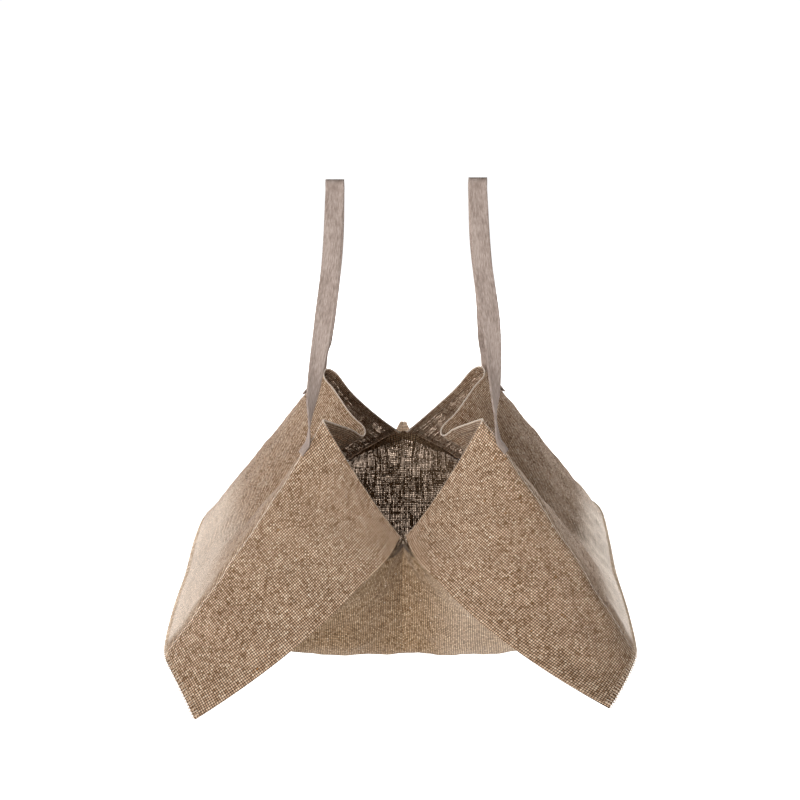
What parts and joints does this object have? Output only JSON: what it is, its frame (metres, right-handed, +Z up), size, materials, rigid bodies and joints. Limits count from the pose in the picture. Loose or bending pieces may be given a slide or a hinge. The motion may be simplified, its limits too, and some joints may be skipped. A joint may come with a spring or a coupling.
{
  "type": "cake carrier bag",
  "caption": "Open cake carrier bag of woven linen: square base panel, half flaps drawn up into peaks, and tape strap loops that it hangs by.",
  "frame": {"origin": "inside the fold at the top of the left strap loop, by which the bag hangs", "axes": "+Z up, +X towards the right flap, +Y towards the back hem; the front hem faces -Y"},
  "size_m": [0.5322, 0.5294, 0.5481],
  "materials": {
    "base_linen": "matt woven",
    "flap_linen": "matt woven",
    "strap_tape": "matt woven tape"
  },
  "bodies": {
    "root": {"base_panel": "base_linen", "left_flap": "flap_linen", "right_flap": "flap_linen", "left_strap": "strap_tape", "right_strap": "strap_tape", "back_tab": "base_linen"}
  },
  "joints": []
}
